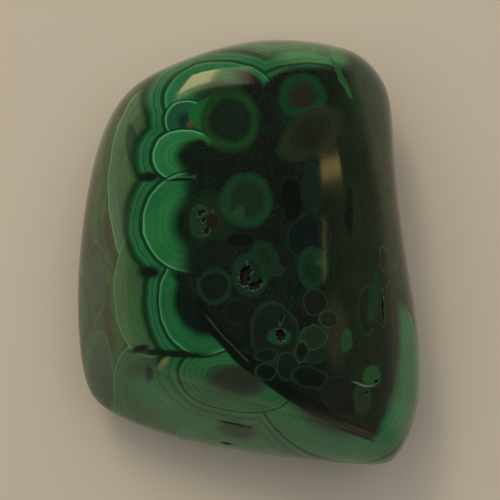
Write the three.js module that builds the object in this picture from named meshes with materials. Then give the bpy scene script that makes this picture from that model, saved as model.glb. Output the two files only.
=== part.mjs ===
// A palm-size piece of malachite, tumbled and polished all over: one solid, with no pieces of its own.
// Millimetres, +Z up. It lies on a small flat on its underside, which is at z = 0. Its box is centred
// on the origin in X and Y, with its length along Y and its thickness along Z.
//
// A tumbled stone is a set of gently domed faces that run into each other over soft ridges. Each face
// here is part of a large ball, and the stone is everything that lies inside all of the balls.

import * as THREE from 'three';
import { mergeVertices } from 'three/addons/utils/BufferGeometryUtils.js';

// Overall size
const LENGTH = 59.4;
const WIDTH = 48.2;
const HEIGHT = 25;

// How sharply neighbouring faces meet, per millimetre: about 1 over the radius of a ridge
const RIDGE_SHARPNESS = 1;

// The faces are laid out round a point inside the stone, this high over its underside
const HEART_HEIGHT = 11;

// Each face has a bearing, in degrees anticlockwise from +X, a tilt of its outward normal from +Z in
// degrees, a reach from the heart to the face, and the radius of its dome. A negative radius is a hollow.
const SIDES = [
  { name: 'left side', bearing: 171, tilt: 90, reach: 24.3, dome: 170 },
  { name: 'upper left side', bearing: 150, tilt: 90, reach: 27.2, dome: 140 },
  { name: 'left of the head', bearing: 112, tilt: 90, reach: 28.4, dome: 150 },
  { name: 'head', bearing: 86, tilt: 90, reach: 30.6, dome: 90 },
  { name: 'upper right side', bearing: 33, tilt: 90, reach: 30, dome: 85 },
  { name: 'right side', bearing: 4, tilt: 90, reach: 23.7, dome: 400 },
  { name: 'hollow in the right side', bearing: 9, tilt: 90, reach: 21.8, dome: -85 },
  { name: 'lower right side', bearing: 332, tilt: 90, reach: 32.2, dome: 600 },
  { name: 'foot', bearing: 264, tilt: 90, reach: 28.6, dome: 500 },
  { name: 'lower left side', bearing: 218, tilt: 90, reach: 31.6, dome: 200 },
];
const SLOPES = [
  { name: 'left slope', bearing: 180, tilt: 54, reach: 20.8, dome: 150 },
  { name: 'upper left slope', bearing: 148, tilt: 52, reach: 26.2, dome: 90 },
  { name: 'head slope', bearing: 92, tilt: 54, reach: 28.8, dome: 90 },
  { name: 'right slope', bearing: 6, tilt: 52, reach: 21.6, dome: 150 },
  { name: 'foot slope', bearing: 250, tilt: 46, reach: 21.9, dome: 150 },
];
const TOPS = [
  { name: 'top', bearing: 160, tilt: 3, reach: 14, dome: 260 },
  { name: 'right strip of the top', bearing: 5, tilt: 11, reach: 16.4, dome: 200 },
];
const UNDERSIDES = [
  { name: 'left underside', bearing: 180, tilt: 140, reach: 19.4, dome: 120 },
  { name: 'head underside', bearing: 95, tilt: 138, reach: 22.6, dome: 120 },
  { name: 'right underside', bearing: 5, tilt: 140, reach: 18.6, dome: 120 },
  { name: 'foot underside', bearing: 258, tilt: 140, reach: 21.2, dome: 120 },
  { name: 'rest', bearing: 0, tilt: 180, reach: 11.5, dome: 500 },
];

// Cells of the surface mesh along X, Y and Z
const CELLS_X = 28;
const CELLS_Y = 34;
const CELLS_Z = 16;

// The search for the surface halves its step this many times, from a start well outside the stone
const SEARCH_START = 50;
const SEARCH_STEPS = 40;

// Corners of the mesh closer than this are one corner
const MERGE_DISTANCE = 0.0001;

const heart = new THREE.Vector3(0, 0, HEART_HEIGHT);

// The ball that a face belongs to: its radius, and its centre behind the face
function ballOf(face) {
  const tilt = THREE.MathUtils.degToRad(face.tilt);
  const bearing = THREE.MathUtils.degToRad(face.bearing);
  const level = Math.sin(tilt);
  const outward = new THREE.Vector3(level * Math.cos(bearing), level * Math.sin(bearing), Math.cos(tilt));
  const centre = heart.clone().addScaledVector(outward, face.reach - face.dome);
  return { centre, radius: Math.abs(face.dome), side: Math.sign(face.dome) };
}

const balls = [...SIDES, ...SLOPES, ...TOPS, ...UNDERSIDES].map(ballOf);

// Signed distance to the stone: below zero inside. It is the largest of the distances to the faces,
// blended so that the ridges between them are round.
function distanceToStone(point) {
  const distances = balls.map((ball) => ball.side * (point.distanceTo(ball.centre) - ball.radius));
  const largest = Math.max(...distances);
  const blended = distances.reduce((sum, d) => sum + Math.exp(RIDGE_SHARPNESS * (d - largest)), 0);
  return largest + Math.log(blended) / RIDGE_SHARPNESS;
}

// The point of the surface that lies in one direction from the heart
function surfacePoint(direction) {
  const point = new THREE.Vector3();
  let inside = 0;
  let outside = SEARCH_START;
  for (let step = 0; step < SEARCH_STEPS; step += 1) {
    const middle = (inside + outside) / 2;
    point.copy(heart).addScaledVector(direction, middle);
    if (distanceToStone(point) < 0) {
      inside = middle;
    } else {
      outside = middle;
    }
  }
  return point;
}

// Draws a point back along its line to the heart, so that the underside ends in a true flat at z = 0
function trimToFlat(point) {
  if (point.z < 0) {
    point.lerp(heart, point.z / (point.z - HEART_HEIGHT));
    point.z = 0;
  }
  return point;
}

// A box of cells, blown up onto the stone. Its directions are stretched as the stone is, so that the
// cells come out even.
function stoneGeometry() {
  const box = new THREE.BoxGeometry(2, 2, 2, CELLS_X, CELLS_Y, CELLS_Z);
  box.deleteAttribute('normal');
  box.deleteAttribute('uv');
  const geometry = mergeVertices(box, MERGE_DISTANCE);
  const corners = geometry.getAttribute('position');
  const direction = new THREE.Vector3();
  const quarterTurn = Math.PI / 4;
  for (let i = 0; i < corners.count; i += 1) {
    direction.fromBufferAttribute(corners, i);
    direction.set(
      WIDTH * Math.tan(quarterTurn * direction.x),
      LENGTH * Math.tan(quarterTurn * direction.y),
      HEIGHT * Math.tan(quarterTurn * direction.z),
    );
    const point = trimToFlat(surfacePoint(direction.normalize()));
    corners.setXYZ(i, point.x, point.y, point.z);
  }
  return geometry;
}

// Brings the solid to its exact overall size, standing on z = 0 and centred in X and Y
function fitToSize(geometry) {
  geometry.computeBoundingBox();
  const size = geometry.boundingBox.getSize(new THREE.Vector3());
  const centre = geometry.boundingBox.getCenter(new THREE.Vector3());
  geometry.translate(-centre.x, -centre.y, -geometry.boundingBox.min.z);
  geometry.scale(WIDTH / size.x, LENGTH / size.y, HEIGHT / size.z);
  geometry.computeVertexNormals();
  return geometry;
}

const polishedMalachite = new THREE.MeshStandardMaterial({
  color: 0x1d5a37,
  roughness: 0.15,
  metalness: 0,
});

const stone = new THREE.Mesh(fitToSize(stoneGeometry()), polishedMalachite);
stone.name = 'malachite_stone';

const part = new THREE.Group();
part.add(stone);

export default part;
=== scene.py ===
"""A palm-size piece of tumbled and polished malachite, lying on pale paper and seen from straight above.

The stone has the same faces as the CAD part, on a much finer mesh, with its pits and cracks sunk into
it. Its bands and eyes are a solid pattern: each is a shell or a column at a place inside the stone, so
the pattern runs on over the ridges and round the underside.
"""

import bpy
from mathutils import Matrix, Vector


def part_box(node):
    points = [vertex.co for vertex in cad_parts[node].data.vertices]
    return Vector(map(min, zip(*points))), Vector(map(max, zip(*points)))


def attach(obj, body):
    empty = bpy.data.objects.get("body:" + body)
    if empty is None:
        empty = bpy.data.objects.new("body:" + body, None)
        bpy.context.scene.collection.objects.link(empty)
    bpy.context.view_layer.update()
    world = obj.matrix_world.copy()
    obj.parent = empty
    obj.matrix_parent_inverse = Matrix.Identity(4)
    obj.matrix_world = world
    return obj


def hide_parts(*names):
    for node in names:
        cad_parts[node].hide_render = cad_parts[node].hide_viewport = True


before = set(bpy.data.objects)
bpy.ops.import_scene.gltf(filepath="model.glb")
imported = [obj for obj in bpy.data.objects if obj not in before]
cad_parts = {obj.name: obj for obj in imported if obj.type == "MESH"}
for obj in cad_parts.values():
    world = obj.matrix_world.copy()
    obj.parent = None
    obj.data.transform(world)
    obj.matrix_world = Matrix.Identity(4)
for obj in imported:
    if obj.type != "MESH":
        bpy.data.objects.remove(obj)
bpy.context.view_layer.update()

import math
from collections import namedtuple

import bmesh
import bpy
import numpy as np
from mathutils import Matrix, Quaternion, Vector, noise

NODE = "malachite_stone"
MM = 0.001

# The faces of the stone, as in the CAD part: bearing in degrees from +X, tilt of the outward normal
# from +Z, reach from the heart and radius of the dome in mm. A negative radius is a hollow.
Face = namedtuple("Face", "name bearing tilt reach dome")
FACES = (
    Face("left side", 171, 90, 24.3, 170),
    Face("upper left side", 150, 90, 27.2, 140),
    Face("left of the head", 112, 90, 28.4, 150),
    Face("head", 86, 90, 30.6, 90),
    Face("upper right side", 33, 90, 30, 85),
    Face("right side", 4, 90, 23.7, 400),
    Face("hollow in the right side", 9, 90, 21.8, -85),
    Face("lower right side", 332, 90, 32.2, 600),
    Face("foot", 264, 90, 28.6, 500),
    Face("lower left side", 218, 90, 31.6, 200),
    Face("left slope", 180, 54, 20.8, 150),
    Face("upper left slope", 148, 52, 26.2, 90),
    Face("head slope", 92, 54, 28.8, 90),
    Face("right slope", 6, 52, 21.6, 150),
    Face("foot slope", 250, 46, 21.9, 150),
    Face("top", 160, 3, 14, 260),
    Face("right strip of the top", 5, 11, 16.4, 200),
    Face("left underside", 180, 140, 19.4, 120),
    Face("head underside", 95, 138, 22.6, 120),
    Face("right underside", 5, 140, 18.6, 120),
    Face("foot underside", 258, 140, 21.2, 120),
    Face("rest", 0, 180, 11.5, 500),
)
# How sharply the faces meet, per mm, and the point inside the stone that they are laid out round
RIDGE_SHARPNESS = 1.0
HEART = np.array([0.0, 0.0, 11.0])

# Cells of the mesh along X, Y and Z, and how often it is halved again round the pits
CELLS = (110, 136, 58)
REFINEMENTS = 2
# The search for the surface halves its step this many times, from a start well outside the stone
SEARCH_START = 50.0
SEARCH_STEPS = 34


def face_balls():
    """The centre, radius and side of the ball that each face belongs to."""
    bearing = np.radians([face.bearing for face in FACES])
    tilt = np.radians([face.tilt for face in FACES])
    reach = np.array([face.reach for face in FACES], float)
    dome = np.array([face.dome for face in FACES], float)
    outward = np.stack([np.sin(tilt) * np.cos(bearing), np.sin(tilt) * np.sin(bearing), np.cos(tilt)], 1)
    return HEART + outward * (reach - dome)[:, None], np.abs(dome), np.sign(dome)


BALL_CENTRES, BALL_RADII, BALL_SIDES = face_balls()


def stone_distance(points):
    """Signed distance to the stone in mm, blended so that the ridges are round, and its gradient."""
    spokes = points[:, None, :] - BALL_CENTRES
    lengths = np.linalg.norm(spokes, axis=2)
    distances = BALL_SIDES * (lengths - BALL_RADII)
    largest = distances.max(1, keepdims=True)
    shares = np.exp(RIDGE_SHARPNESS * (distances - largest))
    total = shares.sum(1, keepdims=True)
    gradient = ((shares / total * BALL_SIDES / lengths)[:, :, None] * spokes).sum(1)
    return (largest + np.log(total) / RIDGE_SHARPNESS)[:, 0], gradient


def surface_points(directions):
    """Where each direction from the heart leaves the stone, trimmed to the flat at z = 0."""
    inside = np.zeros(len(directions))
    outside = np.full(len(directions), SEARCH_START)
    for _ in range(SEARCH_STEPS):
        middle = (inside + outside) / 2
        is_inside = stone_distance(HEART + directions * middle[:, None])[0] < 0
        inside = np.where(is_inside, middle, inside)
        outside = np.where(is_inside, outside, middle)
    points = HEART + directions * middle[:, None]
    depth = np.minimum(points[:, 2], 0)
    return points + (HEART - points) * (depth / (depth - HEART[2]))[:, None]


def cell_box():
    """Corners and quads of a box of cells, with each corner between -1 and 1."""
    corner_of = {}
    quads = []
    for axis in range(3):
        across, up = (axis + 1) % 3, (axis + 2) % 3
        for end in (0, CELLS[axis]):
            for i in range(CELLS[across]):
                for j in range(CELLS[up]):
                    quad = []
                    for di, dj in ((0, 0), (1, 0), (1, 1), (0, 1)):
                        place = [0, 0, 0]
                        place[axis], place[across], place[up] = end, i + di, j + dj
                        quad.append(corner_of.setdefault(tuple(place), len(corner_of)))
                    quads.append(quad if end else quad[::-1])
    corners = 2 * np.array(list(corner_of), float) / CELLS - 1
    return corners, quads


def unit(vectors):
    return vectors / np.linalg.norm(vectors, axis=1, keepdims=True)


# A pit: its middle in mm in the stone's frame, its half sizes, the turn of its long side in degrees, its
# depth, and how ragged its outline is
Pit = namedtuple("Pit", "x y half_x half_y turn depth ragged")
PITS = (
    Pit(-6.3, 5.3, 0.6, 0.4, 20, 0.35, 0.6),
    Pit(-6.0, 4.4, 0.36, 0.4, 0, 0.3, 0.6),
    Pit(-5.6, 2.9, 0.55, 0.5, 40, 0.35, 0.6),
    Pit(-4.9, 5.7, 0.25, 0.2, 0, 0.2, 0.5),
    Pit(-0.4, -3.0, 0.8, 1.65, -14, 0.8, 0.45),
    Pit(0.9, -4.4, 1.3, 0.62, 24, 0.6, 0.55),
    Pit(4.3, -11.2, 0.75, 0.9, 10, 0.7, 0.45),
    Pit(4.5, -8.9, 0.36, 0.75, -12, 0.35, 0.5),
    Pit(18.3, -7.6, 0.19, 2.5, 2, 0.45, 0.45),
    Pit(18.9, -3.9, 0.14, 0.8, -8, 0.3, 0.5),
    Pit(17.4, -17.5, 0.42, 0.2, 0, 0.35, 0.5),
    Pit(16.2, -19.0, 0.25, 0.25, 0, 0.3, 0.5),
    Pit(-1.7, -23.7, 2.6, 0.14, -12, 0.35, 0.4),
    Pit(-3.0, -26.7, 0.9, 0.17, -8, 0.3, 0.4),
)

# The mesh is refined within this many times a pit's reach, once the pit is widened by this much in mm
REFINED_REACH = 1.5
REFINED_RIM = 0.3

# A ragged outline stays within this many times a pit's reach, and the wall takes up this share of its half
# size. The noise that makes it ragged has this scale per mm, roughness, ratio of sizes and octaves.
RAGGED_REACH = 2
PIT_WALL = 0.45
RAG_SCALE = 2.2
RAG_NOISE = (1.0, 2.0, 3)

# The reach given to points below the heart, where there are no pits
NO_PIT = 99.0


def pit_reach(pit, points):
    """0 at a pit's middle and 1 on its outline, before that is made ragged."""
    turn = math.radians(pit.turn)
    along = (points[:, 0] - pit.x) * math.cos(turn) + (points[:, 1] - pit.y) * math.sin(turn)
    across = (points[:, 1] - pit.y) * math.cos(turn) - (points[:, 0] - pit.x) * math.sin(turn)
    return np.where(points[:, 2] > HEART[2], np.hypot(along / pit.half_x, across / pit.half_y), NO_PIT)


def near_pits(points):
    """Whether each point is in a pit or close to one."""
    reaches = []
    for pit in PITS:
        wide = pit._replace(half_x=pit.half_x + REFINED_RIM, half_y=pit.half_y + REFINED_RIM)
        reaches.append(pit_reach(wide, points))
    return np.min(reaches, axis=0) < REFINED_REACH


def pit_depths(points):
    """How deep each point is sunk, in mm."""
    depths = np.zeros(len(points))
    for pit in PITS:
        reach = pit_reach(pit, points)
        near = np.flatnonzero(reach < RAGGED_REACH)
        ragged = np.array([noise.fractal(Vector(points[i] * RAG_SCALE), *RAG_NOISE) for i in near])
        inward = np.clip((1 - reach[near] + pit.ragged * ragged) / PIT_WALL, 0, 1)
        depths[near] = np.maximum(depths[near], pit.depth * inward * inward * (3 - 2 * inward))
    return depths


def refine(mesh):
    """Halves the cells of a mesh in mm near the pits, as often as REFINEMENTS says."""
    grid = bmesh.new()
    grid.from_mesh(mesh)
    for _ in range(REFINEMENTS):
        grid.verts.ensure_lookup_table()
        near = near_pits(np.array([vertex.co for vertex in grid.verts]))
        edges = [edge for edge in grid.edges if near[edge.verts[0].index] and near[edge.verts[1].index]]
        bmesh.ops.subdivide_edges(grid, edges=edges, cuts=1, use_grid_fill=True)
        grid.verts.index_update()
    grid.to_mesh(mesh)
    grid.free()


def stone_mesh():
    """The stone as a mesh in metres, in the CAD part's box."""
    corners, quads = cell_box()
    low, high = (np.array(corner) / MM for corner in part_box(NODE))
    directions = unit(np.tan(corners * math.pi / 4) * (high - low))
    points = surface_points(directions)
    scale = (high - low) / np.ptp(points, axis=0)
    shift = low - points.min(0) * scale

    mesh = bpy.data.meshes.new("polished_stone")
    mesh.from_pydata((points * scale + shift).tolist(), [], quads)
    refine(mesh)

    # The refined corners lie on flat cells: they are moved out to the stone, and the pits are sunk
    places = np.zeros(len(mesh.vertices) * 3)
    mesh.vertices.foreach_get("co", places)
    raw = (places.reshape(-1, 3) - shift) / scale
    points = surface_points(unit(raw - HEART))
    placed = points * scale + shift
    depths = pit_depths(placed)
    sunk = placed - unit(stone_distance(points)[1]) * depths[:, None]
    mesh.vertices.foreach_set("co", (sunk * MM).ravel())
    mesh.attributes.new("pit_depth", "FLOAT", "POINT").data.foreach_set("value", depths)
    mesh.polygons.foreach_set("use_smooth", [True] * len(mesh.polygons))
    mesh.update()
    return mesh


def even(value):
    return (value, value, value)


# The inputs of a mix node: its factor and its two values, as numbers and as colours
MIX_NUMBERS = (0, 2, 3)
MIX_COLOURS = (0, 6, 7)


class Web:
    """Adds shader nodes one after another and returns the output of each."""

    def __init__(self, tree):
        self.tree = tree

    def add(self, kind, *inputs, **settings):
        node = self.tree.nodes.new(kind)
        for name, value in settings.items():
            setattr(node, name, value)
        for place, value in enumerate(inputs):
            self.plug(node.inputs[place], value)
        return node

    def plug(self, socket, value):
        if isinstance(value, bpy.types.NodeSocket):
            self.tree.links.new(value, socket)
        elif socket.type == "RGBA" and len(value) == 3:
            socket.default_value = (*value, 1)
        else:
            socket.default_value = value

    def math(self, operation, *values):
        return self.add("ShaderNodeMath", *values, operation=operation).outputs[0]

    def vector(self, operation, *values):
        node = self.add("ShaderNodeVectorMath", *values, operation=operation)
        return node.outputs["Value" if operation == "DOT_PRODUCT" else "Vector"]

    def mix(self, factor, first, second):
        """Mixes two numbers."""
        node = self.tree.nodes.new("ShaderNodeMix")
        for place, value in zip(MIX_NUMBERS, (factor, first, second)):
            self.plug(node.inputs[place], value)
        return node.outputs[0]

    def blend(self, factor, first, second, how="MIX"):
        """Mixes two colours."""
        node = self.tree.nodes.new("ShaderNodeMix")
        node.data_type = "RGBA"
        node.blend_type = how
        for place, value in zip(MIX_COLOURS, (factor, first, second)):
            self.plug(node.inputs[place], value)
        return node.outputs[2]

    def step(self, value, start, end):
        """0 below start, 1 above end, and smooth between them; start may be above end."""
        node = self.add("ShaderNodeMapRange", value, start, end, 0.0, 1.0, clamp=False)
        node.interpolation_type = "SMOOTHSTEP"
        return node.outputs[0]

    def stretch(self, value, start, full, fading, end):
        """1 from full to fading, 0 before start and after end."""
        return self.math("MULTIPLY", self.step(value, start, full), self.step(value, end, fading))

    def ramp(self, value, span, stops):
        """A colour for each value: stops are (value, colour), over a span from 0."""
        node = self.add("ShaderNodeValToRGB", self.math("DIVIDE", value, span))
        elements = node.color_ramp.elements
        while len(elements) < len(stops):
            elements.new(0.5)
        for element, (place, colour) in zip(elements, stops):
            element.position = place / span
            element.color = (*colour, 1)
        return node.outputs[0]

    def noise(self, vector, scale, detail=2.0, roughness=0.5):
        node = self.add("ShaderNodeTexNoise", vector)
        node.inputs["Scale"].default_value = scale
        node.inputs["Detail"].default_value = detail
        node.inputs["Roughness"].default_value = roughness
        return node

    def ripple(self, value, scale, detail):
        """A random wave along one number, between about 0.2 and 0.8."""
        node = self.tree.nodes.new("ShaderNodeTexNoise")
        node.noise_dimensions = "1D"
        self.plug(node.inputs["W"], value)
        node.inputs["Scale"].default_value = scale
        node.inputs["Detail"].default_value = detail
        return node.outputs[0]


# A nodule of the pattern is a column that stands upright in the stone: its middle and half sizes in mm, its
# turn in degrees, the display colours of its outline, ring and core, and the width of the ring in mm
Nodule = namedtuple(
    "Nodule", "name x y half_x half_y turn line ring core width", defaults=(None, None, None, 0))

# Columns are widest at this height, and half as high as this, in mm: scallops, eyes and the fault
COLUMN_MIDDLE = 22.0
SCALLOP_HALF_Z = 40
EYE_HALF_Z = 22
FAULT_HALF_Z = 80

SCALLOPS = (
    Nodule("seventh", 11.9, -14.2, 12.0, 15.8, 20, (34, 74, 42), (46, 98, 56), (30, 48, 32), 4.2),
    Nodule("sixth", -1.5, -17.2, 7.8, 4.6, -8, (62, 104, 66), (44, 88, 48), (42, 46, 34), 3.0),
    Nodule("right of the head", 7.4, 21.7, 7.0, 3.9, 4, (34, 70, 42), (44, 74, 46), (30, 40, 30), 1.2),
    Nodule("first", -3.9, 20.9, 7.5, 5.0, 0, (64, 122, 74), (36, 88, 50), (24, 44, 28), 3.3),
    Nodule("second", -8.1, 17.8, 3.1, 2.8, 0, (70, 130, 84), (28, 68, 46), (20, 42, 30), 1.8),
    Nodule("third", -8.5, 13.0, 4.5, 3.6, 0, (80, 140, 88), (40, 98, 52), (15, 25, 18), 2.9),
    Nodule("fifth", -5.8, -6.4, 6.2, 7.4, 0, (70, 128, 80), (32, 84, 44), (15, 24, 17), 2.3),
    Nodule("fourth", -7.4, 4.1, 6.9, 6.7, 0, (76, 136, 84), (37, 94, 48), (15, 25, 18), 3.9),
)
# The part of the pattern that has no shells of its own on the right
MIDDLE = Nodule("middle", 6, 3, 15, 19.5, 0)

LEFT_NODULES = (
    Nodule("left side, middle", -20.9, -3.5, 1.5, 5.3, 0, (58, 76, 48), (46, 58, 38), (54, 64, 42), 0.6),
    Nodule("left side, foot", -20.6, -17.8, 2.2, 7.0, 0, (64, 92, 58), (52, 74, 46), (52, 66, 42), 0.9),
    Nodule("left slope, head", -13.3, 9.1, 5.9, 13.5, 0, (82, 128, 72), (68, 88, 56), (60, 82, 48), 2.0),
    Nodule("left slope, foot", -13.3, -19.6, 5.5, 8.0, 0, (68, 106, 66), (54, 84, 50), (50, 76, 44), 2.0),
    Nodule("left slope, middle", -13.3, -5.1, 5.1, 9.2, 0, (78, 124, 70), (64, 84, 52), (56, 82, 46), 1.6),
    Nodule("dark lens", -15.7, 14.4, 0.9, 3.2, 8, (26, 62, 34), (18, 54, 30), (28, 60, 36), 0.7),
    Nodule("head, right", 16.7, 23.0, 3.0, 4.1, 0, (44, 66, 44), (40, 48, 36), (38, 42, 32), 1.0),
    Nodule("head, top", 10.5, 27.7, 1.5, 1.2, 0, (54, 92, 56), (52, 80, 50), (52, 80, 50), 1.0),
)


def patch(name, x, y, half_x, half_y, turn, colour):
    """A nodule of one colour, which is painted with soft edges."""
    return Nodule(name, x, y, half_x, half_y, turn, ring=colour)


# Dark seams and small patches between the scallops, and one painted highlight
SEAM = (20, 27, 18)
SEAMS = (
    patch("seam over the fourth", -13.4, 10.2, 1.6, 0.6, 0, SEAM),
    patch("thin seam over the fourth", -8.2, 9.7, 3.2, 0.22, 0, SEAM),
    patch("seam over the fifth", -13.4, -2.6, 1.6, 0.9, 0, SEAM),
    patch("wedge over the fifth", -7.9, -3.8, 2.8, 1.0, -28, (14, 20, 13)),
    patch("seam over the sixth", -10.0, -13.6, 5.6, 0.55, -2, SEAM),
    patch("end of the seam over the sixth", -14.6, -13.0, 1.3, 0.5, 20, SEAM),
    patch("brown spot of the second", -7.7, 17.3, 0.5, 0.6, 0, (74, 56, 32)),
    patch("dark of the third", -6.7, 12.7, 2.9, 2.5, 0, (17, 25, 17)),
    patch("dark foot", -1.6, -24.6, 2.8, 1.3, -8, (34, 50, 34)),
    # Painted highlight: a small warm glow of light on the ridge at the lower left, painted yellow-green
    patch("painted warm highlight", -11.5, -15.1, 1.2, 0.45, 50, (98, 104, 54)),
    patch("dark patch", -13.5, -16.5, 0.6, 1.2, 0, (20, 38, 26)),
)
BROWN_CLOUD = patch("brown cloud", 11.7, -10.6, 1.6, 5.0, 4, (46, 44, 29))

# The eyes lie in dark stone, which draws their colours down by these factors
EYE_TINT = (0.90, 0.83, 0.71)
# The pale colour of a painted highlight: a glint of light on the edge beside the bright spot
PAINTED_GLINT = (110, 136, 110)
EYES = (
    Nodule("behind the head eye", 7.0, 20.1, 3.6, 4.1, 0, (26, 50, 34), (24, 44, 30), (30, 34, 28), 2.2),
    Nodule("head eye", 7.3, 21.1, 3.5, 3.4, 0, (24, 58, 36), (25, 64, 38), (44, 42, 38), 1.5),
    Nodule("stadium eye", 8.5, 16.0, 5.4, 3.1, 37, (44, 82, 50), (40, 48, 34), (37, 40, 32), 1.6),
    Nodule("green eye's lobe", -5.0, 18.8, 3.0, 2.3, 20, (34, 104, 50), (30, 96, 46), (28, 70, 44), 2.0),
    Nodule("green eye", -2.5, 17.9, 4.3, 4.5, 0, (38, 84, 48), (30, 64, 36), (26, 38, 30), 1.5),
    Nodule("pitted eye", -5.1, 4.1, 3.8, 4.6, 0, (30, 64, 40), (22, 42, 28), (28, 44, 33), 1.2),
    Nodule("pitted eye's patch", -6.4, 4.2, 1.6, 2.3, 0, (38, 64, 46), (36, 62, 44), (36, 62, 44), 1.0),
    Nodule("pitted eye's brown", -5.0, 4.2, 1.1, 1.2, 0, (40, 46, 36), (34, 30, 24), (34, 30, 24), 1.0),
    Nodule("square eye", -0.2, 7.1, 3.8, 3.9, 0, (34, 70, 44), (30, 62, 40), (28, 46, 34), 1.5),
    Nodule("spot of the square eye", -1.1, 5.3, 0.9, 1.2, 0, (34, 66, 46), (36, 70, 46), (36, 70, 46), 1.0),
    Nodule("mottled", -4.5, -0.1, 3.0, 2.0, 0, (28, 44, 34), (25, 32, 27), (25, 32, 27), 1.0),
    Nodule("black", -1.1, 1.7, 2.3, 1.1, 0, (26, 38, 30), (18, 24, 19), (18, 24, 19), 1.0),
    Nodule("top of the kidney eye", 1.9, -1.0, 2.2, 2.6, 0, (26, 52, 36), (27, 52, 36), (26, 44, 34), 1.1),
    Nodule("kidney eye", 0.2, -3.0, 2.6, 3.2, 0, (30, 58, 40), (28, 54, 38), (26, 44, 34), 1.1),
    Nodule("kidney eye's point", 3.5, -2.4, 1.3, 0.8, 0, (26, 50, 36), (26, 46, 34), (26, 46, 34), 0.8),
    Nodule("crescent eye", -4.5, -4.6, 2.4, 2.6, 0, (28, 62, 40), (26, 54, 36), (24, 30, 26), 0.6),
    Nodule("below the crescent", -1.1, -8.0, 2.4, 1.7, 0, (28, 42, 32), (24, 30, 26), (24, 30, 26), 0.8),
    Nodule("ring eye", 3.5, -10.8, 3.4, 4.4, 12, (44, 76, 52), (34, 60, 42), (27, 36, 30), 0.5),
    Nodule("ring eye's middle", 4.1, -11.2, 1.5, 1.3, 0, (30, 66, 46), (30, 72, 46), (34, 60, 46), 0.6),
    Nodule("blackest", 5.9, 7.1, 1.5, 3.2, 0, (26, 36, 30), (16, 22, 17), (16, 22, 17), 0.6),
    Nodule("beside the blackest", 8.7, 8.8, 1.5, 3.6, 0, (30, 50, 42), (27, 40, 35), (27, 40, 35), 0.6),
    Nodule("teal eye, top", 8.0, 1.9, 3.1, 3.4, 0, (30, 58, 48), (22, 34, 30), (20, 28, 26), 0.6),
    Nodule("teal eye", 8.7, -2.1, 2.2, 3.0, 0, (34, 68, 48), (25, 56, 38), (24, 46, 35), 1.2),
    Nodule("spot of the teal eye", 9.7, -1.4, 0.7, 0.7, 0, (34, 70, 46), (34, 70, 46), (34, 70, 46), 0.5),
    Nodule("below the teal eye", 8.9, -6.8, 1.6, 1.9, 0, (36, 64, 46), (30, 30, 28), (30, 30, 28), 0.5),
    Nodule("small arch", 10.7, -9.1, 1.3, 1.2, 0, (40, 72, 48), (38, 42, 32), (38, 42, 32), 0.5),
    Nodule("below the small eye", 8.9, -13.6, 1.9, 1.6, 0, (34, 56, 42), (34, 46, 38), (34, 46, 38), 0.6),
    Nodule("small eye", 8.7, -11.5, 1.8, 1.8, 0, (42, 82, 54), (36, 54, 40), (36, 48, 38), 0.6),
    Nodule("drop", 7.2, -13.4, 0.9, 1.5, 0, (42, 80, 54), (26, 30, 26), (26, 30, 26), 0.4),
    Nodule("first cell", 2.5, -13.8, 1.7, 0.9, 0, (34, 60, 44), (24, 32, 27), (24, 32, 27), 0.4),
    Nodule("third cell", 5.4, -15.4, 1.6, 2.0, 0, (36, 64, 46), (25, 34, 28), (25, 34, 28), 0.4),
    Nodule("second cell", 2.4, -16.1, 1.6, 1.3, 0, (36, 62, 46), (22, 30, 25), (20, 26, 22), 0.4),
    Nodule("fourth cell", 8.3, -16.9, 2.7, 1.6, -10, (38, 70, 50), (24, 34, 29), (22, 26, 24), 0.6),
    Nodule("foot cell", 12.8, -19.5, 3.4, 2.8, -25, (36, 60, 46), (34, 38, 35), (34, 36, 35), 0.5),
    Nodule("olive foot", 15.4, -20.0, 1.2, 2.2, 0, (46, 62, 46), (48, 62, 46), (48, 58, 44), 0.6),
    Nodule("bright spot", 16.6, -16.7, 1.1, 1.6, 0, (42, 80, 50), (42, 84, 52), (44, 76, 52), 0.8),
    Nodule("olive spot", 13.2, -11.9, 0.9, 1.6, 0, (46, 76, 50), (48, 78, 50), (48, 74, 50), 0.6),
    Nodule("right eye", 16.1, -8.0, 1.5, 3.6, 0, (40, 70, 50), (34, 42, 36), (34, 42, 36), 0.6),
    Nodule("beside the crevice", 17.0, -6.0, 0.8, 4.1, -8, (34, 58, 40), (34, 58, 40), (34, 58, 40), 0.6),
    Nodule("right loop", 18.4, -0.8, 0.7, 1.8, 0, (54, 72, 54), (50, 40, 36), (50, 40, 36), 0.4),
    Nodule("small right loop", 20.0, -1.6, 0.4, 1.0, 0, (46, 80, 50), (40, 70, 44), (40, 70, 44), 0.4),
    Nodule("teal loop", 13.7, 5.5, 0.6, 3.5, 0, (22, 36, 27), (20, 30, 23), (20, 30, 23), 0.4),
    # Painted highlight: a thin pale streak of light glinting off the edge beside the bright spot
    Nodule("glint of the bright spot", 15.5, -17.9, 1.6, 0.16, -8, (70, 100, 80), PAINTED_GLINT, PAINTED_GLINT, 0.2),
    Nodule("green streak", 12.5, 24.0, 0.4, 3.4, 27, (44, 92, 58), (44, 92, 58), (44, 92, 58), 0.4),
    Nodule("blue foot", 19.0, -15.3, 1.0, 4.1, 0, (28, 44, 40), (28, 40, 40), (28, 38, 40), 0.6),
)


def linear(red, green, blue):
    """A colour given in display values from 0 to 255."""
    return [(value / 255 / 12.92) if value < 10.3 else ((value / 255 + 0.055) / 1.055) ** 2.4
            for value in (red, green, blue)]


# The light that falls on the stone: its own colours are the display colours divided by this
LIGHT = (0.80, 0.56, 0.40)


def pigment(red, green, blue):
    """The stone's own colour where it looks like these display values in this light."""
    return [value / light for value, light in zip(linear(red, green, blue), LIGHT)]


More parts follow.
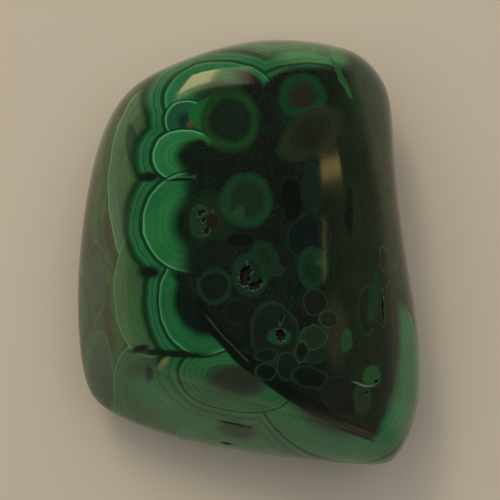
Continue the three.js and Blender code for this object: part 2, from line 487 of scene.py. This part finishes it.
def group(name, inputs, outputs, build):
    """A node group with the given sockets, filled in by build(web, sockets)."""
    tree = bpy.data.node_groups.new(name, "ShaderNodeTree")
    kinds = {"number": "NodeSocketFloat", "vector": "NodeSocketVector", "colour": "NodeSocketColor"}
    for socket, kind in inputs:
        tree.interface.new_socket(name=socket, in_out="INPUT", socket_type=kinds[kind])
    for socket, kind in outputs:
        tree.interface.new_socket(name=socket, in_out="OUTPUT", socket_type=kinds[kind])
    web = Web(tree)
    results = build(web, *list(tree.nodes.new("NodeGroupInput").outputs)[:len(inputs)])
    end = tree.nodes.new("NodeGroupOutput")
    for socket, value in zip(end.inputs, results):
        web.plug(socket, value)
    return tree


# How far places are warped, in mm for each unit of noise: widely and finely for the whole pattern, and
# with more of the fine warp for the eyes
WARP_WIDE = 1.0
WARP_FINE = 0.25
WARP_EYES = 0.75
# The patterns of noise nudge each place by this many mm for each unit
NUDGE = 0.01
# Cells of the net per mm along X, Y and Z
NET_SCALE = (0.42, 0.42, 0.2)


def build_coordinates(web):
    """Places in mm, warped a little and warped more, three noises and a net that is 0 on its lines."""
    spot = web.add("ShaderNodeTexCoord").outputs["Object"]
    still = web.vector("MULTIPLY", spot, even(1 / MM))
    mottle = web.noise(still, scale=0.5, detail=4, roughness=0.6).outputs[0]
    cloud = web.noise(still, scale=0.22).outputs[0]
    speck = web.noise(still, scale=4.5, roughness=0.7).outputs[0]
    net = web.add("ShaderNodeTexVoronoi", feature="DISTANCE_TO_EDGE")
    web.plug(net.inputs["Vector"], web.vector("MULTIPLY", still, NET_SCALE))
    net.inputs["Scale"].default_value = 1.0
    wide = web.vector("SUBTRACT", web.noise(still, scale=0.16).outputs["Color"], even(0.5))
    fine = web.vector("SUBTRACT", web.noise(still, scale=0.5).outputs["Color"], even(0.5))
    place = web.vector("MULTIPLY_ADD", wide, even(WARP_WIDE), still)
    # The nudge is there so that the noises are worked out before all that follows
    nudge = web.add("ShaderNodeCombineXYZ", mottle, cloud, web.math("ADD", speck, net.outputs[0])).outputs[0]
    place = web.vector("MULTIPLY_ADD", nudge, even(NUDGE), place)
    rough = web.vector("MULTIPLY_ADD", fine, even(WARP_EYES), place)
    place = web.vector("MULTIPLY_ADD", fine, even(WARP_FINE), place)
    return place, rough, mottle, cloud, speck, net.outputs[0]


def build_depth(web, place, middle, along, across, rise, size):
    """About the depth in mm below the surface of an ellipsoid, below zero outside it."""
    offset = web.vector("SUBTRACT", place, middle)
    reach = rise
    for axis in (along, across):
        part = web.vector("DOT_PRODUCT", offset, axis)
        reach = web.math("MULTIPLY_ADD", part, part, reach)
    return (web.math("MULTIPLY", web.math("SUBTRACT", 1.0, web.math("SQRT", reach)), size),)


# The depths in mm between which a nodule's halo, outline and ring come up, and the halo's colour. The end
# of the outline's rise is each nodule's own.
HALO_RISE = (-0.4, -0.2)
OUTLINE_START = -0.12
RING_RISE = (0.1, 0.32)
HALO_COLOUR = (16, 40, 22)


def build_layer(web, colour, band, depth, halo, line, ring, core, edge, ring_end, core_start, shift):
    """Paints one nodule over the colour so far: a dark halo, an outline, a ring and a core."""
    shade = web.math("MULTIPLY", web.step(depth, *HALO_RISE), halo)
    colour = web.blend(shade, colour, pigment(*HALO_COLOUR))
    own = web.blend(web.step(depth, *RING_RISE), line, ring)
    own = web.blend(web.step(depth, ring_end, core_start), own, core)
    mask = web.step(depth, OUTLINE_START, edge)
    colour = web.blend(mask, colour, own)
    here = web.math("GREATER_THAN", mask, 0.5)
    return colour, web.mix(here, band, web.math("ADD", depth, shift))


COORDINATES = group("coordinates", (), (
    ("place", "vector"), ("rough", "vector"), ("mottle", "number"), ("cloud", "number"),
    ("speck", "number"), ("net", "number")), build_coordinates)
DEPTH = group("depth", (
    ("place", "vector"), ("middle", "vector"), ("along", "vector"), ("across", "vector"),
    ("rise", "number"), ("size", "number")), (("depth", "number"),), build_depth)
LAYER = group("layer", (
    ("colour", "colour"), ("band", "number"), ("depth", "number"), ("halo", "number"),
    ("line", "colour"), ("ring", "colour"), ("core", "colour"), ("edge", "number"), ("ring end", "number"),
    ("core start", "number"), ("shift", "number")), (("colour", "colour"), ("band", "number")), build_layer)


def use(web, tree, *inputs):
    """Adds a node group, and returns its outputs."""
    node = web.tree.nodes.new("ShaderNodeGroup")
    node.node_tree = tree
    for socket, value in zip(node.inputs, inputs):
        web.plug(socket, value)
    return node.outputs


def nodule_size(nodule):
    return math.sqrt(nodule.half_x * nodule.half_y)


def nodule_depth(web, place, nodule, rise):
    cosine, sine = math.cos(math.radians(nodule.turn)), math.sin(math.radians(nodule.turn))
    along = (cosine / nodule.half_x, sine / nodule.half_x, 0)
    across = (-sine / nodule.half_y, cosine / nodule.half_y, 0)
    middle = (nodule.x, nodule.y, 0)
    return use(web, DEPTH, place, middle, along, across, rise, nodule_size(nodule))[0]


# A nodule's outline is full at this depth in mm, unless it says otherwise. Its ring fades out between
# these shares of its width, and a patch comes up between these shares of its size.
OUTLINE_END = 0.12
RING_FADE = (0.7, 1.3)
PATCH_RISE = (-0.4, 0.5)
# The fine bands of one nodule after another are shifted by this many mm, so that no two are alike
BAND_SHIFT = 13.0


class Paint:
    """The colour built up so far, and the depth that its fine banding follows."""

    def __init__(self, web, place, colour, band):
        self.web = web
        self.place = place
        self.colour = colour
        self.band = band
        self.layers = 0

    def nodule(self, nodule, rise, depth=None, halo=0.0, tint=(1, 1, 1), edge=OUTLINE_END):
        """Paints an outline, a ring and a core, and has the fine bands follow the nodule."""
        if depth is None:
            depth = nodule_depth(self.web, self.place, nodule, rise)
        self.layers += 1
        self.colour, self.band = use(
            self.web, LAYER, self.colour, self.band, depth, halo,
            *(pigment(*np.multiply(colour, tint)) for colour in (nodule.line, nodule.ring, nodule.core)),
            edge, *(nodule.width * share for share in RING_FADE), self.layers * BAND_SHIFT)

    def shade(self, nodule, rise):
        """Paints a nodule in one colour, with soft edges."""
        depth = nodule_depth(self.web, self.place, nodule, rise)
        start, end = (share * nodule_size(nodule) for share in PATCH_RISE)
        self.cover(self.web.step(depth, start, end), pigment(*nodule.ring))

    def cover(self, mask, colour, band=None):
        """Paints a colour where the mask is 1, and may change what the fine bands follow there."""
        self.colour = self.web.blend(mask, self.colour, colour)
        if band is not None:
            self.band = self.web.mix(self.web.math("GREATER_THAN", mask, 0.5), self.band, band)


# The fault that cuts across the foot: the edge of a large ball, in mm
FAULT = Nodule("fault", 36.65, 27.22, 55.94, 55.94, 0)

# How far the bands wander with the mottle, in mm: round the scallops, in the matrix and on the right slope
OUTER_WANDER = 1.5
STREAK_WANDER = 3.0
SLOPE_WANDER = 2

# Values of the mottle between which one colour gives way to another
MOTTLE_RISE = (0.4, 0.6)


class Fields:
    """What the pattern is worked out from at each place: coordinates, noises and depths in mm."""

    def __init__(self, web):
        self.place, self.rough, self.mottle, self.cloud, self.speck, self.net = use(web, COORDINATES)
        self.x = web.vector("DOT_PRODUCT", self.place, (1, 0, 0))
        self.y = web.vector("DOT_PRODUCT", self.place, (0, 1, 0))
        z = web.vector("DOT_PRODUCT", self.place, (0, 0, 1))
        above = web.math("SUBTRACT", z, COLUMN_MIDDLE)
        self.scallop_rise, self.eye_rise, self.fault_rise = (
            web.math("POWER", web.math("DIVIDE", above, half_z), 2)
            for half_z in (SCALLOP_HALF_Z, EYE_HALF_Z, FAULT_HALF_Z))
        self.streaks = web.math("MULTIPLY_ADD", self.mottle, STREAK_WANDER, self.x)
        self.depths = [nodule_depth(web, self.place, nodule, self.scallop_rise) for nodule in SCALLOPS]
        self.inside = nodule_depth(web, self.place, MIDDLE, self.scallop_rise)
        for depth in self.depths:
            self.inside = web.math("MAXIMUM", self.inside, depth)
        self.outside = web.math("MULTIPLY", self.inside, -1)


# The stone round the scallops is brown and green by turns, and greener at its two ends: values of its
# wave between which green takes over, in general and at the ends, and where the ends begin, in mm
OUTER_BROWN = (50, 50, 28)
OUTER_GREEN = (50, 74, 36)
END_GREEN = (58, 104, 58)
OUTER_WAVE = (0.4, 0.6)
END_WAVE = (0.2, 0.65)
HEAD_END = (24.5, 26.5)
FOOT_END = (-19, -24)


def outer_stone(web, at):
    """Starts the paint with the stone round the scallops, which is banded along with them."""
    wave = web.ripple(web.math("MULTIPLY_ADD", at.mottle, OUTER_WANDER, at.outside), scale=0.6, detail=3)
    base = web.blend(web.step(wave, *OUTER_WAVE), pigment(*OUTER_BROWN), pigment(*OUTER_GREEN))
    ends = web.math("MAXIMUM", web.step(at.y, *HEAD_END), web.step(at.y, *FOOT_END))
    base = web.blend(web.math("MULTIPLY", ends, web.step(wave, *END_WAVE)), base, pigment(*END_GREEN))
    return Paint(web, at.place, base, web.math("MULTIPLY_ADD", at.mottle, OUTER_WANDER, at.outside))


# Shells outside the scallops, on the left and at the foot: how far out each green is, in mm
DEEP_GREEN = (20, 60, 28)
MIDDLE_GREEN = (28, 74, 40)
BRIGHT_GREEN = (44, 96, 56)
LEFT_SHELLS = (
    (0, DEEP_GREEN), (0.45, DEEP_GREEN), (0.62, BRIGHT_GREEN), (0.78, MIDDLE_GREEN), (0.95, BRIGHT_GREEN),
    (1.12, MIDDLE_GREEN), (1.5, BRIGHT_GREEN), (1.68, MIDDLE_GREEN), (1.95, DEEP_GREEN),
    (2.3, (18, 40, 22)), (3.4, (30, 44, 28)),
)
FOOT_DARK = (30, 52, 31)
FOOT_MIDDLE = (42, 76, 43)
FOOT_BRIGHT = (50, 98, 54)
FOOT_SHELLS = (
    (0, FOOT_DARK), (0.2, FOOT_DARK), (0.4, FOOT_BRIGHT), (0.8, FOOT_BRIGHT), (0.95, FOOT_MIDDLE),
    (1.15, FOOT_MIDDLE), (2.1, FOOT_BRIGHT), (2.35, FOOT_MIDDLE), (2.8, FOOT_BRIGHT), (4.2, FOOT_BRIGHT),
)
# The shells fade out over these distances in mm, and to the right over these values of x. The ones of the
# foot take over between these values of y. The fine bands of the shells are shifted by this many mm.
LEFT_SHELLS_END = (3.3, 2.3)
FOOT_SHELLS_END = (8, 5)
LEFT_SHELLS_RIGHT = (6, 1.5)
FOOT_RISE = (-14, -18)
SHELL_SHIFT = 300.0


def paint_shells(paint, at):
    web = paint.web
    left, foot = (
        web.ramp(at.outside, shells[-1][0], [(place, pigment(*colour)) for place, colour in shells])
        for shells in (LEFT_SHELLS, FOOT_SHELLS))
    toward_foot = web.step(at.y, *FOOT_RISE)
    shells = web.blend(toward_foot, left, foot)
    left_reach, foot_reach = (
        web.step(at.outside, *end) for end in (LEFT_SHELLS_END, FOOT_SHELLS_END))
    reach = web.mix(toward_foot, left_reach, foot_reach)
    sideways = web.math("MAXIMUM", web.step(at.x, *LEFT_SHELLS_RIGHT), toward_foot)
    reach = web.math("MULTIPLY", reach, sideways)
    paint.cover(reach, shells, web.math("ADD", at.outside, SHELL_SHIFT))


def mottled(web, at, first, second):
    return web.blend(web.step(at.mottle, *MOTTLE_RISE), pigment(*first), pigment(*second))


def matrix_colour(web, at):
    """The dark stone in which the eyes lie: mottled, with specks, a net of lines and brown on the right."""
    matrix = mottled(web, at, (21, 20, 15), (17, 25, 17))
    for pattern, start, end, share, colour in (
            (at.speck, 0.52, 0.72, 0.5, (44, 48, 34)),
            (at.net, 0.05, 0.01, 0.12, (34, 48, 34)),
            (at.x, 9, 16, 0.7, (37, 42, 25))):
        mask = web.math("MULTIPLY", web.step(pattern, start, end), share)
        matrix = web.blend(mask, matrix, pigment(*colour))
    return matrix


# The edges of the dark matrix, in mm: where each comes up and where it is full. Its left edge lies further
# right at the head, and its right edge leans in at the foot.
MATRIX_LEFT = (-10.0, -7.4)
MATRIX_RIGHT = (21.4, 20.2)
MATRIX_DEPTH = (0.5, 1.2)
MATRIX_FAULT = (-0.4, 0.3)
HEAD_RISE = (14.5, 17)
HEAD_SHIFT = 7
LEAN_START = -14
LEAN = 0.3
# Above this y the matrix has no right edge of its own
RIGHT_EDGE_TOP = (-9, -6)
# Right of the eyes it also fills all from the foot to the head
RIGHT_PART_LEFT = (4, 7)
RIGHT_PART_FOOT = (-13, -10)
RIGHT_PART_HEAD = (25.8, 24.6)


def matrix_mask(web, at, behind):
    """1 where the dark matrix is, given how far a place lies behind the fault."""
    head = web.math("MULTIPLY", web.step(at.y, *HEAD_RISE), -HEAD_SHIFT)
    west = web.step(web.math("ADD", at.x, head), *MATRIX_LEFT)
    below = web.math("MINIMUM", web.math("ADD", at.y, -LEAN_START), 0)
    lean = web.math("MULTIPLY_ADD", below, -LEAN, at.x)
    east = web.math("MAXIMUM", web.step(lean, *MATRIX_RIGHT), web.step(at.y, *RIGHT_EDGE_TOP))
    right = web.math("MULTIPLY", web.step(at.x, *RIGHT_PART_LEFT), web.step(at.y, *RIGHT_PART_FOOT))
    right = web.math("MULTIPLY", right, web.step(at.y, *RIGHT_PART_HEAD))
    deep = web.math("MAXIMUM", web.step(at.inside, *MATRIX_DEPTH), right)
    core = web.math("MULTIPLY", web.math("MULTIPLY", west, east), deep)
    return web.math("MULTIPLY", core, web.step(behind, *MATRIX_FAULT))


# The ridge over the right slope: it bulges outward up to this y, the more the higher, in mm
SHOULDER_TOP = 21
SHOULDER_BULGE = 0.0125
SHOULDER_RISE = (18.3, 20.0)
SLOPE_FOOT = (-8, -3)
SLOPE_HEAD = (10, 18)


def paint_right_slope(paint, at):
    """The slope on the right is a duller brown, and greener toward the head."""
    web = paint.web
    bulge = web.math("MINIMUM", web.math("MAXIMUM", at.y, 0), SHOULDER_TOP)
    shoulder = web.math("MULTIPLY_ADD", web.math("MULTIPLY", bulge, SHOULDER_BULGE), bulge, at.x)
    slope = web.math("MULTIPLY", web.step(shoulder, *SHOULDER_RISE), web.step(at.y, *SLOPE_FOOT))
    brown = mottled(web, at, (48, 45, 24), (42, 57, 26))
    brown = web.blend(web.step(at.y, *SLOPE_HEAD), brown, pigment(31, 48, 28))
    paint.cover(slope, brown, web.math("MULTIPLY_ADD", at.mottle, SLOPE_WANDER, shoulder))


# The stripe and the vein along the fault, in mm across it, and their ends in x: where each starts, is
# full, begins to fade and ends
STRIPE_ACROSS = (-0.9, -0.5, 0.7, 1.3)
STRIPE_LEFT = (-8.0, -6.5)
STRIPE_RIGHT = (18, 16.5)
VEIN_ACROSS = (0.2, 0.35, 0.45, 0.6)
UPPER_VEIN = (-6.5, -5, -0.4, 0.6)
LOWER_VEIN = (12.5, 14, 16.5, 17.5)


def paint_fault(paint, at, behind):
    """A dark stripe along the fault, with a thin brown line in two parts of it."""
    web = paint.web
    stripe = web.math("MULTIPLY", web.stretch(behind, *STRIPE_ACROSS), web.step(at.x, *STRIPE_RIGHT))
    paint.cover(web.math("MULTIPLY", stripe, web.step(at.x, *STRIPE_LEFT)), pigment(15, 19, 13))
    vein = web.stretch(behind, *VEIN_ACROSS)
    upper = web.stretch(at.x, *UPPER_VEIN)
    where = web.math("MAXIMUM", upper, web.stretch(at.x, *LOWER_VEIN))
    paint.cover(web.math("MULTIPLY", vein, where), pigment(52, 46, 34))


# The outline of an eye is softer the larger the eye is, and at least this soft, in mm
EYE_EDGE_SHARE = 0.22
EYE_EDGE_LESS = 0.2
EYE_EDGE_LEAST = 0.15


def paint_eyes(paint, at):
    paint.place = at.rough
    for nodule in EYES:
        edge = max(EYE_EDGE_LEAST, EYE_EDGE_SHARE * nodule_size(nodule) - EYE_EDGE_LESS)
        paint.nodule(nodule, at.eye_rise, tint=EYE_TINT, edge=edge)


# How the brightness follows the fine bands, the clouds and the specks: the share of each, and what is
# added to it
BAND_BRIGHTNESS = (0.8, 0.6)
CLOUD_BRIGHTNESS = (0.7, 0.65)
SPECK_BRIGHTNESS = (0.35, 0.82)


def banded(paint, at):
    """The colour with its fine bands, clouds and specks."""
    web = paint.web
    ripple = web.ripple(paint.band, scale=3.2, detail=3)
    factor = web.math("MULTIPLY_ADD", ripple, *BAND_BRIGHTNESS)
    factor = web.math("MULTIPLY", factor, web.math("MULTIPLY_ADD", at.cloud, *CLOUD_BRIGHTNESS))
    factor = web.math("MULTIPLY", factor, web.math("MULTIPLY_ADD", at.speck, *SPECK_BRIGHTNESS))
    grey = web.add("ShaderNodeCombineColor", factor, factor, factor).outputs[0]
    return web.blend(1.0, paint.colour, grey, "MULTIPLY")


# Pits have a pale rim and are dark and dull inside: the depths in mm at which each comes up
PIT_RIM = (0.002, 0.02)
PIT_HOLLOW = (0.03, 0.16)
# The roughness of the polish, what a speck adds to it, and the roughness inside a pit
POLISH = 0.05
SPECK_DULLNESS = 0.08
PIT_ROUGHNESS = 0.6


def malachite():
    material = bpy.data.materials.new("polished_malachite")
    material.use_nodes = True
    web = Web(material.node_tree)
    shader = material.node_tree.nodes["Principled BSDF"]

    at = Fields(web)
    paint = outer_stone(web, at)
    for nodule in LEFT_NODULES:
        paint.nodule(nodule, at.scallop_rise)
    paint_shells(paint, at)
    for nodule, depth in zip(SCALLOPS, at.depths):
        paint.nodule(nodule, at.scallop_rise, depth, halo=0.85)
    for nodule in SEAMS:
        paint.shade(nodule, at.scallop_rise)
    behind = nodule_depth(web, at.place, FAULT, at.fault_rise)
    matrix = matrix_colour(web, at)
    paint.cover(matrix_mask(web, at, behind), matrix, at.streaks)
    paint_right_slope(paint, at)
    paint_fault(paint, at, behind)
    paint.shade(BROWN_CLOUD, at.eye_rise)
    paint_eyes(paint, at)

    colour = banded(paint, at)
    pit = web.add("ShaderNodeAttribute", attribute_name="pit_depth").outputs["Fac"]
    colour = web.blend(web.step(pit, *PIT_RIM), colour, pigment(52, 76, 54))
    hollow = web.step(pit, *PIT_HOLLOW)
    colour = web.blend(hollow, colour, pigment(14, 11, 8))
    web.plug(shader.inputs["Base Color"], colour)
    polish = web.math("MULTIPLY_ADD", at.speck, SPECK_DULLNESS, POLISH)
    web.plug(shader.inputs["Roughness"], web.mix(hollow, polish, PIT_ROUGHNESS))
    shader.inputs["IOR"].default_value = 1.52
    return material


def stone(material):
    piece = bpy.data.objects.new("polished_stone", stone_mesh())
    bpy.context.scene.collection.objects.link(piece)
    piece.data.materials.append(material)
    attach(piece, "root")
    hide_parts(NODE)


FLOOR_HALF = 3.0
PAPER_GREY = (0.74, 0.72, 0.72)


def floor():
    mesh = bpy.data.meshes.new("paper")
    corners = [(x * FLOOR_HALF, y * FLOOR_HALF, 0) for x, y in ((-1, -1), (1, -1), (1, 1), (-1, 1))]
    mesh.from_pydata(corners, [], [(0, 1, 2, 3)])
    piece = bpy.data.objects.new("paper", mesh)
    bpy.context.scene.collection.objects.link(piece)
    material = bpy.data.materials.new("paper")
    material.use_nodes = True
    shader = material.node_tree.nodes["Principled BSDF"]
    shader.inputs["Base Color"].default_value = (*PAPER_GREY, 1)
    shader.inputs["Roughness"].default_value = 0.9
    shader.inputs["Specular IOR Level"].default_value = 0.2
    mesh.materials.append(material)


def area_light(name, bearing, zenith, distance, size, power, colour, in_gloss=True, turn=0):
    """A panel that faces the stone from a bearing and an angle from straight up, both in degrees."""
    light = bpy.data.lights.new(name, "AREA")
    light.shape = "RECTANGLE"
    light.size, light.size_y = size
    light.energy = power
    light.color = colour
    piece = bpy.data.objects.new(name, light)
    bpy.context.scene.collection.objects.link(piece)
    around, down = math.radians(bearing), math.radians(zenith)
    toward = Vector((math.sin(down) * math.cos(around), math.sin(down) * math.sin(around), math.cos(down)))
    piece.location = toward * distance
    side = (Vector((1, 0, 0)) - toward * toward.x).normalized()
    side.rotate(Quaternion(toward, math.radians(turn)))
    piece.rotation_euler = Matrix((side, toward.cross(side), toward)).transposed().to_euler()
    piece.visible_glossy = in_gloss


LAMP_COLOUR = (1.0, 0.76, 0.26)
# The room's glow for each height of a direction, from level to straight up, in display values
ROOM_GLOW = ((0, (190, 176, 150)), (0.25, (130, 120, 100)), (0.6, (70, 66, 56)), (0.95, (18, 19, 18)))
# The room is darker on the right: where a direction's X lies between these, it falls to this strength
ROOM_FALL = (0, 0.7)
ROOM_RIGHT = 0.66


def lights():
    area_light("sky_panel", bearing=100, zenith=24, distance=1.2, size=(2.2, 2.2), power=13.5,
               colour=(1.0, 0.90, 0.74), in_gloss=False)
    area_light("window", bearing=108, zenith=38, distance=1.0, size=(0.28, 0.50), power=0.75,
               colour=(1.0, 0.82, 0.50))
    area_light("window_core", bearing=113, zenith=40.5, distance=1.0, size=(0.16, 0.40), power=1.2,
               colour=(1.0, 0.74, 0.34))
    area_light("lamp", bearing=30, zenith=21.5, distance=1.0, size=(0.19, 0.033), power=0.065,
               colour=LAMP_COLOUR, turn=10)
    area_light("lamp_edge", bearing=9, zenith=13.6, distance=1.0, size=(0.01, 0.10), power=0.008,
               colour=LAMP_COLOUR)


def room():
    world = bpy.data.worlds.new("room")
    world.use_nodes = True
    bpy.context.scene.world = world
    web = Web(world.node_tree)
    way = web.add("ShaderNodeSeparateXYZ", web.add("ShaderNodeTexCoord").outputs["Generated"])
    glow = web.ramp(way.outputs["Z"], 1, [(height, linear(*colour)) for height, colour in ROOM_GLOW])
    background = world.node_tree.nodes["Background"]
    web.plug(background.inputs["Color"], glow)
    strength = web.mix(web.step(way.outputs["X"], *ROOM_FALL), 1.0, ROOM_RIGHT)
    web.plug(background.inputs["Strength"], strength)


# The camera in metres, a little off the middle as in the photo, and its lens and sensor in mm
CAMERA_HEIGHT = 0.320
CAMERA_X = 0.243 * MM
CAMERA_Y = 0.333 * MM
LENS = 157.9
SENSOR_WIDTH = 36
CLIP_START = 0.01


def camera():
    data = bpy.data.cameras.new("camera")
    data.lens = LENS
    data.sensor_width = SENSOR_WIDTH
    data.clip_start = CLIP_START
    piece = bpy.data.objects.new("camera", data)
    piece.location = (CAMERA_X, CAMERA_Y, CAMERA_HEIGHT)
    bpy.context.scene.collection.objects.link(piece)
    bpy.context.scene.camera = piece


camera()
lights()
room()
floor()
stone(malachite())
bpy.context.scene.view_settings.view_transform = "Standard"
